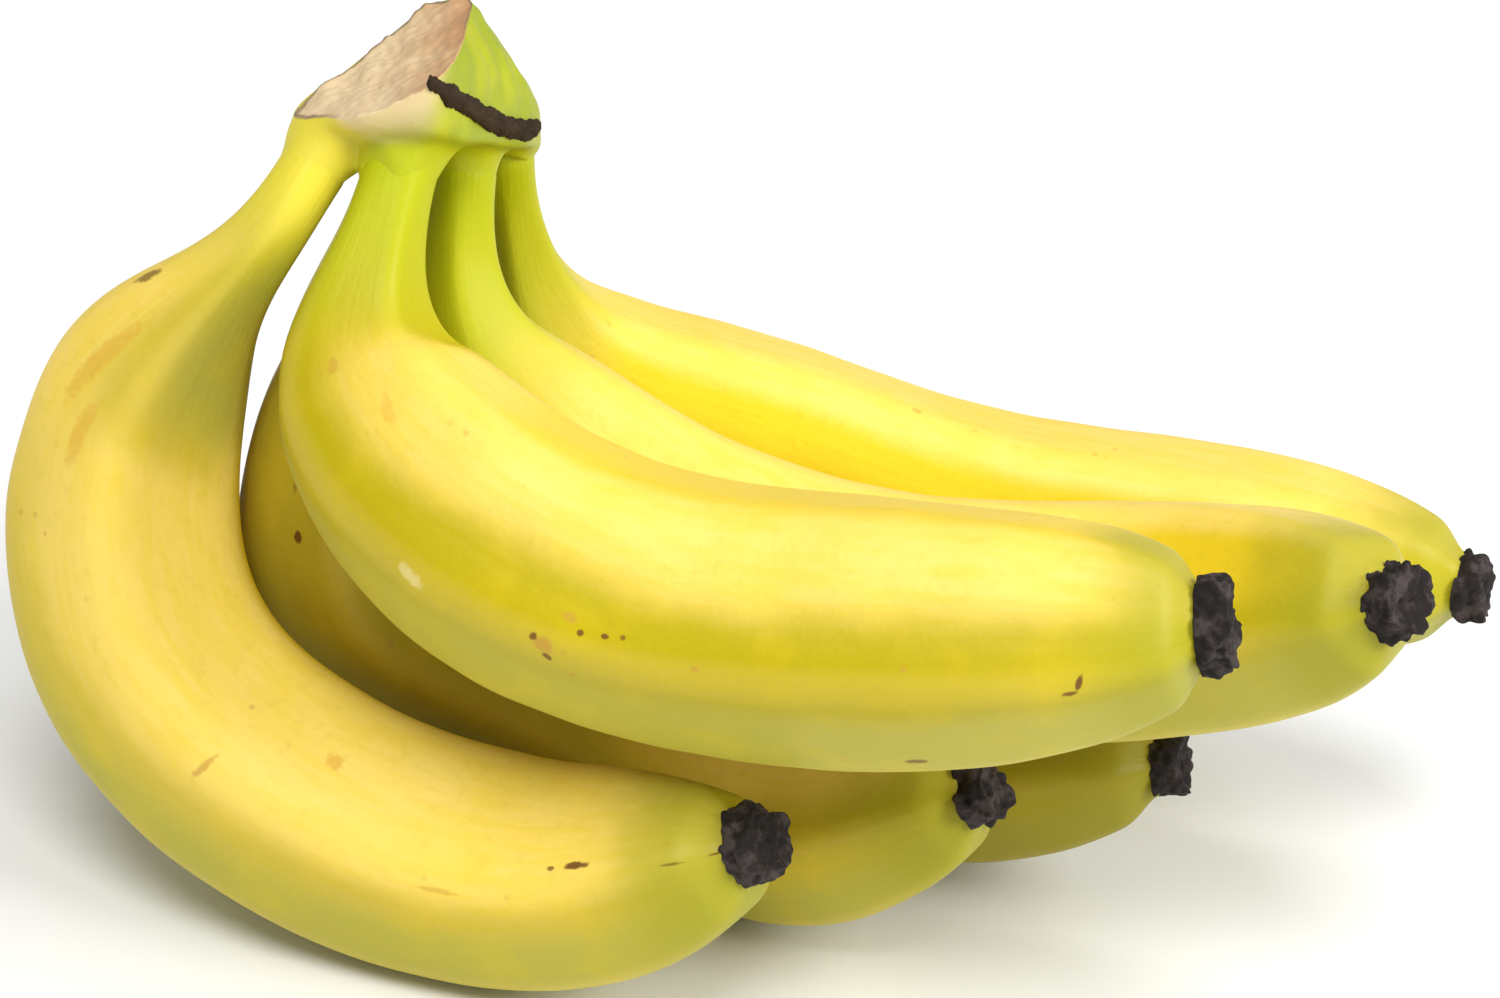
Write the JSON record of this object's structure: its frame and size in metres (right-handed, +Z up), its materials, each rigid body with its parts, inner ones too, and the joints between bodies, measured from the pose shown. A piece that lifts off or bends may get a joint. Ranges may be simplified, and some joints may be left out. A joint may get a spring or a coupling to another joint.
{
  "type": "bunch of bananas",
  "caption": "Bunch of ripe bananas: curved five-sided fingers in two rows on one cut crown, each ending in a dark dried flower, lying on its bellies.",
  "frame": {"origin": "middle of the bunch's footprint, on the surface that it lies on", "axes": "+X along the bunch from the crown's end to the tips, +Y across it from the front fingers to the rear ones, +Z up"},
  "size_m": [0.2369, 0.1305, 0.1394],
  "materials": {
    "banana_skin": "smooth waxy fruit skin with a soft sheen, lemon to golden yellow, green at the neck, small brown marks",
    "crown": "green plant skin with a pale tan, fibrous cut face",
    "dried_bract": "dark brown, dry and fibrous",
    "dried_flower": "near black, dry and crumpled"
  },
  "bodies": {
    "root": {"crown": "crown", "bract_base": "dried_bract", "finger_1": "banana_skin", "finger_2": "banana_skin", "finger_3": "banana_skin", "finger_4": "banana_skin", "finger_5": "banana_skin", "finger_6": "banana_skin", "dried_flower_1": "dried_flower", "dried_flower_2": "dried_flower", "dried_flower_3": "dried_flower", "dried_flower_4": "dried_flower", "dried_flower_5": "dried_flower", "dried_flower_6": "dried_flower"}
  },
  "joints": []
}
